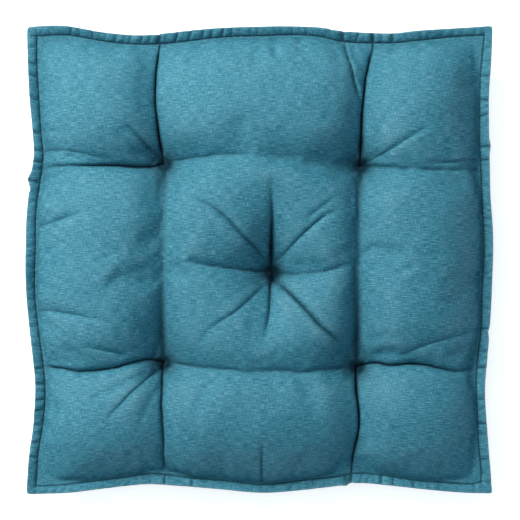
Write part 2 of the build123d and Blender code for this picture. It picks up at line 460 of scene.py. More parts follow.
def crown(full, soften):
    """Rise of one panel above its flange, with valleys but no creases yet."""
    swell = inflate(valley_spring(soften))
    # the cloth leaves the flange at a slope, and only bulges steeply at the valleys
    sides = np.stack([SEWN - S, SEWN + S, SEWN - T, SEWN + T])
    from_seam = -18 * np.log(np.exp(-sides / 18).sum(0))  # to the nearest side, smooth at corners
    power = 0.5 + 0.75 * np.exp(-np.clip(from_seam, -8, None) / 38)
    rise = full * (swell / swell.max()) ** power * (Q < 0)
    # less filling reaches the sides, and least the corners
    to_corner = np.hypot(SEWN - np.abs(S), SEWN - np.abs(T))
    filled = (0.64 + 0.36 * np.clip(from_seam / 120, 0, 1)) * (1 - 0.38 * bell(to_corner, 62))
    rise = rise * (1 - sagging()) * filled
    return rise * full / rise.max()


def creased(rise, full, crease_share, seed):
    """A crown with its creases, the filling's lumps and the gathers along its edges."""
    shape = rise.copy()
    inside = np.clip(-Q / 6, 0, 1)
    slits = [(2.2, 0, [(x, y, 8 * (1.1 - left)) for x, y, left in points])
             for width, points in VALLEYS if width < 8 and max(map(abs, points[-1][:2])) > 280]
    for width, lean, points in CREASES + slits:
        where, _, d, deep = near(points, X, Y, 7 * width)
        most = 0.78 if width < 2.3 else 0.6  # of the height there
        shape[where] -= np.minimum(crease_share * deep * groove(d, width, lean), most * rise[where])
    firm = np.clip(rise / full, 0, 1)
    shape += (0.9 * lumps(seed, 66) + 0.12 * lumps(seed + 1, 24)) * firm**2 * inside
    shape += gathers(seed + 2, 2.6) * inside * np.clip(rise / 18, 0, 1)
    return np.clip(shape, 0, None) * (Q < 0)


def tufted(shape, lowest):
    """Draws the panel down to its lowest level round each tuft."""
    for name, (x, y) in TUFTS.items():
        away = np.hypot(X - x, Y - y)
        pull = bell(away, 7 if name == "centre" else 6)
        shape = shape + (np.minimum(shape, lowest) - shape) * pull
        shape = np.where(away < 60, np.maximum(shape, lowest * (1 - 0.15 * pull)), shape)
    return shape


def on_floor(rise, room):
    """The lower panel's rise, softly stopped by the floor."""
    give = 4.0
    rest = -give * np.log(np.exp(-rise / give) + np.exp(-room / give))
    return np.clip(np.minimum(rest, room), 0, None)


# ---- Flange ----


def puckers(seed, height):
    """Relief of the flange, with a plan shift that sharpens its puckers, deep and shallow."""
    source = np.random.default_rng(seed)
    out = np.zeros((n, n))
    push = np.zeros((2, n, n))
    for side, deep_ones in PUCKERS.items():
        upright = side in ("left", "right")
        across = {"left": -S, "right": S, "back": T, "front": -T}[side] - SEWN
        along = T if upright else S
        on_side = np.clip((across + 1.5) / 1.5, 0, 1) * (across >= np.abs(Q) - 1e-6)
        away_from_ends = np.clip((SEWN - np.abs(along)) / 8, 0, 1)
        marks = list(deep_ones)
        at = -SEWN
        while at < SEWN:
            marks.append((at, source.uniform(0.15, 0.75), source.uniform(-0.4, 0.5)))
            at += source.uniform(6, 17)
        for place, deep, slant in marks:
            d = along - place - slant * (across - 6)
            width = 2.1 + 0.5 * min(deep, 1.6)
            bump = 0.3 * bell(np.abs(d) - 2.2 * width, width)
            out += on_side * height * deep * (bump - bell(d, width))
            firm = min(0.66, 0.5 * deep) * bell(d, 1.6 * width)
            push[1 if upright else 0] -= on_side * away_from_ends * d * firm
    return np.clip(out, -2.3, 1.0), np.clip(push, -1.6, 1.6)


def flange_height(puff, relief):
    """Height of the flange above its middle plane: pressed at the stitching, rolled at the edge."""
    q = np.clip(Q, 0, FLANGE)
    puffed = 1.0 + puff * (1 - bell(q, 2.7)) - 0.5 * bell(q - 9.9, 0.7)  # the last is the hidden seam's
    rolled = np.sqrt(np.clip(1 - np.clip((q - FLANGE + 3.2) / 3.25, 0, 1) ** 2, 0, 1))
    return THIN + (puffed - THIN + relief * np.clip(q / 2.4, 0.1, 1)) * rolled


# The flange curls up towards its edge, more in some places than in others.
CURL = (4.6 + 1.2 * lumps(91, 70, 24)) * (np.clip(Q, 0, FLANGE) / FLANGE) ** 1.15

# ---- Both panels' shapes ----

FULL_TOP = TOP - MID - 3.5
FULL_BOTTOM = 62.0  # the lower panel would hang this far if there were no floor
LOWEST_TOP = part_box("tuft_tie_centre")[1][2] / MM - MID - 1.5  # the upper panel's rise at a tuft
LOWEST_BOTTOM = 13.0

top_relief, top_push = puckers(5, 2.0)
bottom_relief, bottom_push = puckers(8, 1.5)
top_flange = flange_height(2.5, top_relief)
bottom_flange = flange_height(1.9, bottom_relief)
room = MID - bottom_flange
top_crown = tufted(crown(FULL_TOP, -0.12), LOWEST_TOP)
bottom_crown = on_floor(tufted(crown(FULL_BOTTOM, 0.12), LOWEST_BOTTOM), room)

# ---- Cloth simulation: the sewn bag, blown up by its filling ----


def make_object(name, points, faces, uv=None):
    """A smooth mesh object from points in millimetres."""
    mesh = bpy.data.meshes.new(name)
    mesh.from_pydata((np.asarray(points) * MM).tolist(), [], faces)
    mesh.update()
    if uv is not None:
        layer = mesh.uv_layers.new(name="cloth")
        corner = np.empty(len(mesh.loops), dtype=np.int32)
        mesh.loops.foreach_get("vertex_index", corner)
        layer.data.foreach_set("uv", np.asarray(uv)[corner].astype(np.float32).ravel())
    mesh.polygons.foreach_set("use_smooth", [True] * len(mesh.polygons))
    piece = bpy.data.objects.new(name, mesh)
    bpy.context.collection.objects.link(piece)
    return piece


def quads(k):
    """Four-sided faces of a grid of point numbers."""
    return np.stack([k[:-1, :-1], k[1:, :-1], k[1:, 1:], k[:-1, 1:]], -1).reshape(-1, 4)


def bag_faces(m):
    """Faces of a bag of two m by m grids that share their edge."""
    index = np.arange(m * m).reshape(m, m)
    below = index + m * m
    below[[0, -1]] = index[[0, -1]]
    below[:, [0, -1]] = index[:, [0, -1]]
    return np.vstack([quads(index), quads(below)[:, ::-1]])


def compact(points, faces):
    """Drops the points that no face uses."""
    used = np.unique(faces)
    renumber = np.full(len(points), -1)
    renumber[used] = np.arange(len(used))
    return points[used], renumber[faces], used


def spaced_lines(least):
    """Grid lines from seam to seam that are at least so far apart."""
    chosen = [FIRST]
    for k in range(FIRST + 1, n - FIRST):
        if line[k] - line[chosen[-1]] >= least:
            chosen.append(k)
    chosen[-1] = n - 1 - FIRST
    return np.array(chosen)


def held_down():
    """How firmly the bag is held at each grid point: seam and tufts fully, valleys partly."""
    hold = np.zeros((n, n))
    for _, points in VALLEYS:
        where, _, d, left = near(points, X, Y, 14)
        lift(hold, where, np.clip(1.15 - left, 0, 0.9) * bell(d, 5.5))
    for x, y in TUFTS.values():
        hold = np.maximum(hold, bell((X - x) ** 2 + (Y - y) ** 2, 9**2))
    return np.maximum(hold, Q > -1)


def simulate(upper, lower, frames=16, most=7.0):
    """Runs Blender's cloth on a coarse bag, and gives how far both panels moved."""
    picked = spaced_lines(4.4)
    grid = np.ix_(picked, picked)
    m = len(picked)
    start = np.vstack([upper[grid].reshape(-1, 3), lower[grid].reshape(-1, 3)])
    points, faces, used = compact(start, bag_faces(m))
    bag = make_object("bag", points, faces.tolist())
    hold = held_down()[grid].ravel()
    pins = bag.vertex_groups.new(name="held")
    for k, weight in enumerate(np.concatenate([hold, hold])[used]):
        pins.add([k], float(np.clip(weight, 0.0, 1.0)), "REPLACE")
    cloth = bag.modifiers.new("cloth", "CLOTH")
    settings = cloth.settings
    settings.quality = 6
    settings.mass = 0.25
    settings.tension_stiffness = settings.compression_stiffness = 18
    settings.shear_stiffness = 6
    settings.bending_stiffness = 0.4
    settings.vertex_group_mass = "held"
    settings.pin_stiffness = 1.0
    settings.use_pressure = True
    settings.uniform_pressure_force = 4.0
    settings.shrink_min = -0.03
    settings.effector_weights.gravity = 0.0
    cloth.collision_settings.use_collision = False
    cloth.collision_settings.use_self_collision = False
    cloth.point_cache.frame_start, cloth.point_cache.frame_end = 1, frames
    stage = bpy.context.scene
    for frame_number in range(1, frames + 1):
        stage.frame_set(frame_number)
    settled = bag.evaluated_get(bpy.context.evaluated_depsgraph_get()).to_mesh()
    end = np.empty(len(points) * 3)
    settled.vertices.foreach_get("co", end)
    bpy.data.objects.remove(bag, do_unlink=True)
    stage.frame_set(1)
    moved = end.reshape(-1, 3) / MM - points
    far = np.linalg.norm(moved, axis=1, keepdims=True)
    moved *= most * np.tanh(far / most) / np.maximum(far, 1e-6)
    both = np.zeros((2 * m * m, 3))
    both[used] = moved
    print("cloth moved up to", far.max().round(1), "mm, on average", far.mean().round(2), "mm")
    return [spread(half.reshape(m, m, 3), picked) for half in (both[: m * m], both[m * m :])]


def spread(coarse, picked):
    """A coarse field read at every grid point; nothing moves on the flange."""
    fine = np.zeros((n, n, 3))
    spots = line[picked]
    for axis in range(3):
        rows = np.stack([np.interp(line, spots, column) for column in coarse[..., axis].T], 1)
        fine[..., axis] = np.stack([np.interp(line, spots, row) for row in rows])
    fine[Q > -0.01] = 0
    for _ in range(3):
        for axis in (0, 1):
            fine = (np.roll(fine, 1, axis) + 2 * fine + np.roll(fine, -1, axis)) / 4
    return fine * np.clip(-Q / 3, 0, 1)[..., None]


top_moved, bottom_moved = simulate(
    np.stack([X, Y, MID + top_flange + top_crown], -1),
    np.stack([X, Y, MID - bottom_flange - bottom_crown], -1))

# The open faces have grooves for creases. The outer faces also have them pressed shut.
top_rise = creased(top_crown, FULL_TOP, 1.5, 21)
bottom_rise = np.clip(creased(bottom_crown, FULL_BOTTOM, 0.7, 31), 0, room)
TOP_OPEN = np.stack([X, Y, MID + top_flange + top_rise], -1) + top_moved
TOP_OPEN[..., 2] = np.clip(TOP_OPEN[..., 2], MID + THIN, None) + CURL
BOTTOM_OPEN = np.stack([X, Y, MID - bottom_flange - bottom_rise], -1) + bottom_moved
BOTTOM_OPEN[..., 2] = np.clip(BOTTOM_OPEN[..., 2], 0.05, MID - THIN) + CURL
TOP_FACE, BOTTOM_FACE = TOP_OPEN.copy(), BOTTOM_OPEN.copy()
TOP_FACE[..., :2] += np.moveaxis(squeeze(8.0, 0.84) + top_push, 0, -1)
BOTTOM_FACE[..., :2] += np.moveaxis(squeeze(8.0, 0.45) + bottom_push, 0, -1)
Z_TOP, Z_BOTTOM = TOP_FACE[..., 2], BOTTOM_FACE[..., 2]

# ---- Panels ----


def sunk(face, up, reach, depth):
    """A face moved into the cushion, below every point of it within reach grid steps."""
    z = up * face[..., 2]
    for axis in (0, 1):
        z = np.min([np.roll(z, k, axis) for k in range(-reach, reach + 1)], axis=0)
    out = face.copy()
    out[..., 2] = up * (z - depth)
    return out


def flat_places(face):
    """Each grid point's place in the flat cloth, in metres: its lines run on as the weave does."""
    along_s = np.linalg.norm(np.diff(face, axis=0), axis=-1).mean(1)
    along_t = np.linalg.norm(np.diff(face, axis=1), axis=-1).mean(0)
    u = np.concatenate([[0], np.cumsum(along_s)])
    v = np.concatenate([[0], np.cumsum(along_t)])
    return np.stack(np.meshgrid(u - u[n // 2], v - v[n // 2], indexing="ij"), -1) * MM


def blurred(field, spread_by):
    """A field averaged over its neighbourhood, by distance and not by grid steps."""
    weight = bell(line[:, None] - line[None, :], spread_by)
    weight *= np.gradient(line)[None, :]
    weight /= weight.sum(1, keepdims=True)
    return weight @ field @ weight.T


def painted_shade_wear_and_highlight(face, up, relief):
    """Painted shade at each point, darkest in hollows, valleys, creases, round the tufts and in the flange's
    grooves, and rubbed wear that also paints a paler highlight on the crowns and the edge; both from 0 to
    about 1.
    """
    rise = up * (face[..., 2] - MID)
    inside = np.clip(-Q / 4, 0, 1)
    below = blurred(rise, 13) - rise
    # painted shade where the cloth lies lower than its surroundings
    painted_shade = np.clip((below - 2.0) / 9, 0, 1) * inside
    at_tuft = np.zeros((n, n))
    for x, y in TUFTS.values():
        away = np.hypot(face[..., 0] - x, face[..., 1] - y)
        at_tuft = np.maximum(at_tuft, bell(away, 42))
        # painted shade round each tuft
        painted_shade = np.maximum(painted_shade, 1.4 * bell(away, 12) + 0.3 * bell(away, 24))
    crisp = 1.0 if up > 0 else 0.5

    def paint_shade_along(points, darkness, half_width, more_at_tufts):
        """Paints shade along a curve. Its darkness follows from the value that the curve carries."""
        where, _, d, value = near(points, face[..., 0], face[..., 1], 16)
        dark = crisp * np.clip(darkness(value), 0, 1.2)
        lift(painted_shade, where, dark * bell(d, half_width + more_at_tufts * at_tuft[where]))

    # Painted shade lines along the narrow valleys and the steepest creases.
    for width, points in VALLEYS:
        if width < 3:
            gain = 1.9 if width < 2.1 else 1.2 if width < 2.4 else 0.6
            paint_shade_along(points, lambda left: gain * np.abs(left - 1.05), 1.3, 2.8)
        elif 3.6 < width < 5:
            paint_shade_along(points, lambda left: 2.2 * np.abs(left - 0.8), 2.8, 4.2)
    for width, _, points in CREASES:
        if width < 3.1:
            paint_shade_along(points, lambda depth: 0.12 * depth, 1.3, 0.8)
    # Painted shade in the groove of the topstitching and in the hollows of the flange's puckers.
    painted_shade = np.maximum(painted_shade, 0.95 * bell(Q - 0.4, 1.0))  # the groove of the topstitching
    painted_shade = np.maximum(painted_shade, np.clip(-relief / 2.3 - 0.25, 0, 0.8) * (Q > 0))
    # Rubbed, faded wear on the crowns and the rolled edge, also used as a painted highlight that pales the
    # crowns.
    wear_and_highlight = np.clip((-below - 0.8) / 5, 0, 1) * inside * np.clip(rise / 50, 0, 1)
    return painted_shade, np.maximum(wear_and_highlight, bell(Q - FLANGE + 0.6, 1.2))


def lines_inside(step):
    """Every second or third grid line from flange to flange, and always the last."""
    lines = list(range(FIRST, n - FIRST, step))
    return lines if lines[-1] == n - 1 - FIRST else [*lines, n - 1 - FIRST]


def ring(lines):
    """Numbers of the grid points once round the square of the given grid lines, anticlockwise."""
    last = len(lines) - 1
    path = [(a, 0) for a in range(last)] + [(last, b) for b in range(last)]
    path += [(a, last) for a in range(last, 0, -1)] + [(0, b) for b in range(last, 0, -1)]
    return [lines[a] * n + lines[b] for a, b in path]


def rim_faces(inner_lines):
    """Faces that join the outer face's rim to the coarser rim of the inner face."""
    m = len(inner_lines)
    fine, coarse_at = ring(range(n)), ring(inner_lines)
    step = {at: k for k, at in enumerate(inner_lines)}
    coarse = [n * n + step[c // n] * m + step[c % n] for c in coarse_at]
    place = {v: k for k, v in enumerate(fine)}
    count = len(fine)
    faces = []
    for c, (v, w) in enumerate(zip(coarse_at, coarse_at[1:] + coarse_at[:1])):
        start, stop = place[v], place[w]
        run = [fine[k % count] for k in range(start, stop + (count if stop < start else 0) + 1)]
        mine, following = coarse[c], coarse[(c + 1) % len(coarse)]
        middle = len(run) // 2
        faces += [[run[k], mine, run[k + 1]] for k in range(middle)]
        faces.append([run[middle], mine, following])
        faces += [[run[k], following, run[k + 1]] for k in range(middle, len(run) - 1)]
    return faces


def panel_object(name, outer, open_face, up, relief):
    """A panel as a closed shell: its outer face, and an inner face one cloth's thickness in."""
    inner_lines = [0, 2, 4, 6] + lines_inside(3) + [n - 7, n - 5, n - 3, n - 1]
    grid = np.ix_(inner_lines, inner_lines)
    m = len(inner_lines)
    inner = sunk(open_face, up, 3, CLOTH)
    lining = MID + up * 0.28 + CURL
    in_flange = Q > -0.01
    inner[in_flange] = np.stack([X, Y, lining], -1)[in_flange]
    inner[..., 2] = np.where(up * (inner[..., 2] - lining) < 0, lining, inner[..., 2])
    uv = flat_places(outer)
    points = np.vstack([outer.reshape(-1, 3), inner[grid].reshape(-1, 3)])
    uv = np.vstack([uv.reshape(-1, 2), uv[grid].reshape(-1, 2)])
    outside = quads(np.arange(n * n).reshape(n, n))
    inside = quads(np.arange(n * n, n * n + m * m).reshape(m, m))[:, [0, 3, 2, 1]]
    rim = rim_faces(inner_lines)
    if up < 0:
        outside, inside, rim = outside[:, ::-1], inside[:, ::-1], [face[::-1] for face in rim]
    piece = make_object(name, points, outside.tolist() + inside.tolist() + rim, uv)
    # The attributes carry the painted shade, and the wear that also paints a highlight on the crowns.
    for key, values in zip(("painted_shade", "wear_and_highlight"), painted_shade_wear_and_highlight(outer, up, relief)):
        attribute = piece.data.attributes.new(key, "FLOAT", "POINT")
        both = np.concatenate([values.ravel(), np.zeros(m * m)]).astype(np.float32)
        attribute.data.foreach_set("value", both)
    return piece

# ---- Threads ----


def joined(parts):
    """Several (points, faces) pairs as one."""
    points, faces, start = [], [], 0
    for p, f in parts:
        points.append(p)
        faces += [[v + start for v in face] for face in f]
        start += len(p)
    return np.vstack(points), faces


def frames_along(route, across=None):
    """Two directions square to a route at each of its points, carried along without a twist."""
    ahead = np.gradient(route, axis=0)
    ahead /= np.linalg.norm(ahead, axis=1, keepdims=True)
    if across is None:
        across = (0, 0, 1) if abs(ahead[0][2]) < 0.9 else (1, 0, 0)
    side = np.cross(ahead[0], across)
    frames = []
    for t in ahead:
        side = side - (side @ t) * t
        side = side / np.linalg.norm(side)
        frames.append((side, np.cross(t, side)))
    return frames


def tube(route, radius, sides=6):
    """Points and faces of a tube along a route; radius may be one number or one per point."""
    route = np.asarray(route, float)
    turn = np.linspace(0, 2 * pi, sides, endpoint=False)
    points = []
    for p, r, (u, v) in zip(route, np.broadcast_to(radius, len(route)), frames_along(route)):
        points += [p + r * (cos(w) * u + sin(w) * v) for w in turn]
    faces = []
    for k in range(len(route) - 1):
        for w in range(sides):
            x, y = k * sides + w, k * sides + (w + 1) % sides
            faces.append([x, y, y + sides, x + sides])
    faces.append(list(range(sides))[::-1])
    faces.append([(len(route) - 1) * sides + w for w in range(sides)])
    return np.array(points), faces


def distances(route):
    """How far along a route each of its points lies."""
    return np.concatenate([[0], np.cumsum(np.linalg.norm(np.diff(route, axis=0), axis=1))])


def points_at(route, far):
    """The points of a route that lie so far along it."""
    total = distances(route)
    return np.stack([np.interp(far, total, route[:, axis]) for axis in range(3)], -1)


def read_grid(field, s, t):
    """A grid field read between its points."""
    a = np.clip(np.searchsorted(line, s) - 1, 0, n - 2)
    b = np.clip(np.searchsorted(line, t) - 1, 0, n - 2)
    u = (s - line[a]) / (line[a + 1] - line[a])
    v = (t - line[b]) / (line[b + 1] - line[b])
    return ((1 - u) * (1 - v) * field[a, b] + u * (1 - v) * field[a + 1, b]
            + (1 - u) * v * field[a, b + 1] + u * v * field[a + 1, b + 1])


def side_route(side, out, surface, above, overrun=(0, 0)):
    """Points along one side, so far outside the foot of the crown and so far above a surface."""
    along = np.linspace(-SEWN - out * 0.9 - overrun[0], SEWN + out * 0.9 + overrun[1], 1200)
    fixed = np.full_like(along, SEWN + out)
    s, t = {"front": (along, -fixed), "right": (fixed, along),
            "back": (-along, fixed), "left": (-fixed, -along)}[side]
    return np.stack([*plan(s, t), read_grid(surface, s, t) + above], -1)


# The course of one stitch from end to end: how high it stands, how far it sways, how thick it is.
BOW = np.array([-1.0, -0.1, 0.28, 0.28, -0.1, -1.0])
SWAY = np.array([[-1], [-0.6], [-0.2], [0.2], [0.6], [1]])
TAPER = np.array([0.55, 0.92, 1.0, 1.0, 0.92, 0.55])


def stitches(route, up, pitch, radius, share, sides=6):
    """A row of separate stitches along a route, each dipping into the cloth at its ends."""
    length = distances(route)[-1]
    count = int(length / pitch)
    source = np.random.default_rng(int(abs(route[0, 0] * 7 + route[0, 1] * 3)) + count)
    parts = []
    for k in range(count):
        start = (k + 0.5 - share / 2 + source.uniform(-0.04, 0.04)) * length / count
        p = points_at(route, np.linspace(start, start + share * pitch, len(BOW)))
        p[:, 2] += up * BOW * radius * 2.2
        ahead = p[-1] - p[0]
        sideways = np.array([-ahead[1], ahead[0], 0]) / np.linalg.norm(ahead)
        p += sideways * source.uniform(-0.07, 0.07) * SWAY
        parts.append(tube(p, radius * TAPER, sides))
    return joined(parts)


# ---- Tufting ties ----


def twisted(route, pitch, turned):
    """Two strands of twine twisted together along a route."""
    route = np.asarray(route, float)
    length = distances(route)[-1]
    far = np.linspace(0, length, max(12, int(length / 0.55)))
    p = points_at(route, far)
    frames = frames_along(p, (0.3, 1, 0.2))
    parts = []
    for ply in range(2):
        turn = 2 * pi * (far / pitch + ply / 2) + turned
        strand = [q + STRAND * 0.86 * (cos(w) * u + sin(w) * v) for q, w, (u, v) in zip(p, turn, frames)]
        parts.append(tube(strand, STRAND, 7))
    return joined(parts)


def height_at(face, x, y):
    """Height of a face at the grid point nearest to (x, y)."""
    return float(face[..., 2].ravel()[np.argmin((X - x) ** 2 + (Y - y) ** 2)])


def tie_object(name, x, y):
    """A loop of twine from the stitch in the upper panel to a knot and two frayed ends below."""
    source = np.random.default_rng(int(abs(3 * x + 7 * y)) + 5)
    top = height_at(TOP_FACE, x, y) + 0.75
    low = height_at(BOTTOM_FACE, x, y) - 1.2
    turn = source.uniform(0, pi)
    c, s = cos(turn), sin(turn)

    def place(points):
        """Puts points round the tie, turned as it is."""
        return [(x + c * a - s * b, y + s * a + c * b, z) for a, b, z in points]

    rising = [(0.6, 0, low + 0.4), (1.6, 0.3, low + 5), (3.0, 0.2, (low + top) / 2), (3.4, 0, top - 4),
              (3.2, 0, top - 0.9), (1.6, 0.1, top + 0.1)]
    falling = [(-a, -b, z) for a, b, z in reversed(rising)]
    parts = [twisted(space_curve(place([*rising, (0, 0, top + 0.2), *falling])), 3.4, turn)]
    wrap = np.linspace(0, 2 * pi * 2.6, 70)
    radius = 1.35 + 0.25 * np.sin(wrap / 2.6)
    knot = [(r * cos(w), r * sin(w), low - 0.2 - 2.2 * k / 69 + 0.5 * sin(w * 1.5))
            for k, (w, r) in enumerate(zip(wrap, radius))]
    parts.append(twisted(place(knot), 3.0, 1.0))
    for hand in (-1, 1):
        bend = source.uniform(0.7, 1.3)
        end = [(0.5 * hand, 0.3, low - 1.2), (1.9 * hand, 0.9 * bend, low - 2.2),
               (3.4 * hand, 1.6 * bend, low - 4.4), (4.6 * hand, 0.9 * bend, low - 7.2),
               (5.2 * hand, -0.4 * bend, low - 9.6)]
        tail = space_curve(place(end))
        parts.append(twisted(tail, 3.4, hand))
        last, ahead = tail[-1], tail[-1] - tail[-3]
        ahead = ahead / np.linalg.norm(ahead)
        for _ in range(7):
            splay = source.normal(0, 0.35, 3)
            hair = [last - 0.4 * ahead + 0.35 * splay, last + 0.5 * ahead + 0.8 * splay,
                    last + 1.4 * ahead + 1.7 * splay]
            parts.append(tube(space_curve(hair), 0.09, 4))
    return make_object(name, *joined(parts))


# ---- Filling ----


def filling_object(name):
    """The fibre filling: a soft, slightly ragged body just inside both panels."""
    picked = lines_inside(2)
    grid = np.ix_(picked, picked)
    m = len(picked)
    source = np.random.default_rng(77)
    gap = np.clip(1.2 + 0.5 * source.random((m, m)) + 0.35 * lumps(51, 9)[grid], 1.15, None)
    upper = sunk(TOP_OPEN, 1, 4, CLOTH)[grid]
    lower = sunk(BOTTOM_OPEN, -1, 4, CLOTH)[grid]
    upper[..., 2] = np.maximum(upper[..., 2] - gap, MID + 0.3)
    lower[..., 2] = np.minimum(lower[..., 2] + gap, MID - 0.3)
    edge = np.zeros((m, m), bool)
    edge[[0, -1]] = edge[:, [0, -1]] = True
    for half in (upper, lower):
        half[edge, :2] *= 0.987  # keeps it clear of the seam
    upper[edge, 2] = MID
    points, faces, _ = compact(np.vstack([upper.reshape(-1, 3), lower.reshape(-1, 3)]), bag_faces(m))
    return make_object(name, points, faces.tolist())


# ---- Materials ----


def put(target, inputs):
    """Sets a node's inputs to values, or links them."""
    for key, value in inputs.items():
        socket = target.inputs[key]
        if isinstance(value, bpy.types.NodeSocket):
            target.id_data.links.new(value, socket)
        else:
            socket.default_value = value


def node(tree, kind, inputs, **settings):
    """A new node with its settings and inputs."""
    made = tree.nodes.new(kind)
    for key, value in settings.items():
        setattr(made, key, value)
    put(made, inputs)
    return made


def new_material(name):
    """A material with one shader: the material, its node tree and the shader."""
    material = bpy.data.materials.new(name)
    material.use_nodes = True
    tree = material.node_tree
    tree.nodes.clear()
    shader = node(tree, "ShaderNodeBsdfPrincipled", {})
    node(tree, "ShaderNodeOutputMaterial", {0: shader.outputs[0]})
    return material, tree, shader


# The functions from here on find the node tree from the first socket that they are given.


def sums(operation, a, b=0.0, c=0.0):
    """One step of arithmetic."""
    return node(a.id_data, "ShaderNodeMath", {0: a, 1: b, 2: c}, operation=operation).outputs[0]


def times(a, b):
    """a * b"""
    return sums("MULTIPLY", a, b)


def times_plus(a, b, c):
    """a * b + c"""
    return sums("MULTIPLY_ADD", a, b, c)


def less(a, middle=0.5):
    """A value less its middle, so that it swings round 0."""
    return sums("SUBTRACT", a, middle)


def noise(vector, scale, detail=2.0, roughness=0.5, distortion=0.0):
    """Noise from 0 to 1."""
    inputs = {"Vector": vector, "Scale": scale, "Detail": detail, "Roughness": roughness,
              "Distortion": distortion}
    return node(vector.id_data, "ShaderNodeTexNoise", inputs).outputs["Fac"]


def stretched(vector, x, y):
    """Coordinates scaled differently both ways."""
    inputs = {"Vector": vector, "Scale": (x, y, 1.0)}
    return node(vector.id_data, "ShaderNodeMapping", inputs).outputs[0]


def ramp(factor, *stops):
    """A colour that runs through the stops, given as (position, colour)."""
    made = node(factor.id_data, "ShaderNodeValToRGB", {"Fac": factor})
    elements = made.color_ramp.elements
    while len(elements) < len(stops):
        elements.new(0.5)
    for element, (at, colour) in zip(elements, stops):
        element.position = at
        element.color = (*colour, 1)
    return made.outputs["Color"]


def mixed(share, colour, other):
    """A colour with a share of another one."""
    inputs = {0: share, 6: colour, 7: (*other, 1)}
    return node(share.id_data, "ShaderNodeMix", inputs, data_type="RGBA").outputs[2]


def bump(height, strength, distance):
    """Fine relief for a shader's Normal."""
    inputs = {"Height": height, "Strength": strength, "Distance": distance}
    return node(height.id_data, "ShaderNodeBump", inputs).outputs[0]


def object_places(tree):
    """Coordinates on the piece."""
    return node(tree, "ShaderNodeTexCoord", {}).outputs["Object"]


def srgb(r, g, b):
    """A colour given as it looks on screen, in 0 to 255, for a shader."""
    return tuple(((v / 255 + 0.055) / 1.055) ** 2.4 if v > 10 else v / 255 / 12.92 for v in (r, g, b))


YARN = 0.00145  # metres between every second yarn of the canvas


def canvas_material():
    """Plain-weave cotton canvas with slubs, in teal."""
    material, tree, shader = new_material("canvas_cloth")
    uv = node(tree, "ShaderNodeUVMap", {}, uv_map="cloth").outputs[0]
    xyz = node(tree, "ShaderNodeSeparateXYZ", {0: uv})
    # threads wander a little
    stray = times(less(noise(uv, 160.0)), 0.0004)
    u = sums("ADD", xyz.outputs[0], stray)
    v = sums("SUBTRACT", xyz.outputs[1], stray)
    warp, weft = (sums("SINE", times(way, 2 * pi / YARN)) for way in (u, v))
    over = times(warp, weft)
    # slubs: thick stretches of yarn along both directions
    slub_u = noise(stretched(uv, 85.0, 1150.0), 1.0, 2.0, 0.6)
    slub_v = noise(stretched(uv, 1150.0, 130.0), 1.0, 2.0, 0.6)
    slub = sums("ADD", times(slub_u, 1.25), times(slub_v, 0.75))
    cloudy = noise(uv, 14.0, 4.0, 0.55)
    fine = noise(uv, 1500.0, 2.0, 0.7)
    tone = times_plus(less(slub, 1.0), 1.35, 0.5)
    tone = times_plus(less(cloudy), 0.12, tone)
    tone = times_plus(less(fine), 0.18, tone)
    tone = times_plus(over, 0.05, tone)
    colour = ramp(tone, (0.2, srgb(20, 90, 111)), (0.5, srgb(43, 112, 135)), (0.8, srgb(82, 138, 158)))
    # painted shade in the folds, valleys and round the tufts; on the crowns and along the edge a pale mix
    # that is partly rubbed, faded wear and partly a painted highlight
    painted_shade, wear_and_highlight = (node(tree, "ShaderNodeAttribute", {}, attribute_name=key).outputs["Fac"]
                  for key in ("painted_shade", "wear_and_highlight"))
    patchy_wear_and_highlight = times(wear_and_highlight, times_plus(cloudy, 1.6, -0.2))
    # painted shade colour, mixed in by the painted-shade mask
    colour = mixed(times(painted_shade, 0.85), colour, srgb(0, 40, 56))
    # pale colour of rubbed wear, which also serves as a painted highlight
    colour = mixed(times(patchy_wear_and_highlight, 0.5), colour, srgb(124, 160, 172))
    height = times_plus(slub, 0.9, times(over, 0.22))
    height = times_plus(fine, 0.35, height)
    rough = times_plus(painted_shade, 0.45, times_plus(slub_u, 0.12, 0.48))
    put(shader, {
        "Base Color": colour,
        "Normal": bump(height, 0.8, 0.0007),
        "Roughness": rough,
        "Sheen Weight": 0.06,
        "Sheen Roughness": 0.5,
        "Sheen Tint": (*srgb(140, 200, 218), 1),
        "Specular IOR Level": 0.24,
    })
    return material


def thread_material(name, dark, light, scale):
    """Spun thread or twine: fine ply lines that run slantwise, and a soft sheen."""
    material, tree, shader = new_material(name)
    place = object_places(tree)
    lines = {"Vector": place, "Scale": scale, "Distortion": 2.0, "Detail": 2.0}
    ply = node(tree, "ShaderNodeTexWave", lines, bands_direction="DIAGONAL").outputs["Fac"]
    fuzz = noise(place, scale * 2.2, 3.0, 0.65)
    tone = times_plus(ply, 0.5, times(fuzz, 0.5))
    put(shader, {
        "Base Color": ramp(tone, (0.2, dark), (0.8, light)),
        "Normal": bump(tone, 0.5, 0.0002),
        "Roughness": times_plus(fuzz, 0.2, 0.55),
        "Sheen Weight": 0.05,
        "Specular IOR Level": 0.15,
    })
    return material


def fibre_material():
    """Off-white polyester fibre: tangled strands with soft shadows between them."""
    material, tree, shader = new_material("fibre_wadding")
    place = object_places(tree)
    tangle = noise(place, 90.0, 6.0, 0.7, 2.4)
    clump = noise(place, 22.0, 3.0)
    tone = times_plus(tangle, 0.65, times(clump, 0.35))
    put(shader, {
        "Base Color": ramp(tone, (0.3, srgb(214, 210, 200)), (0.7, srgb(244, 243, 238))),
        "Normal": bump(tangle, 0.9, 0.002),
        "Roughness": times_plus(clump, 0.1, 0.85),
        "Subsurface Weight": 0.15,
        "Subsurface Radius": (0.004, 0.004, 0.004),
        "Sheen Weight": 0.4,
    })
    return material


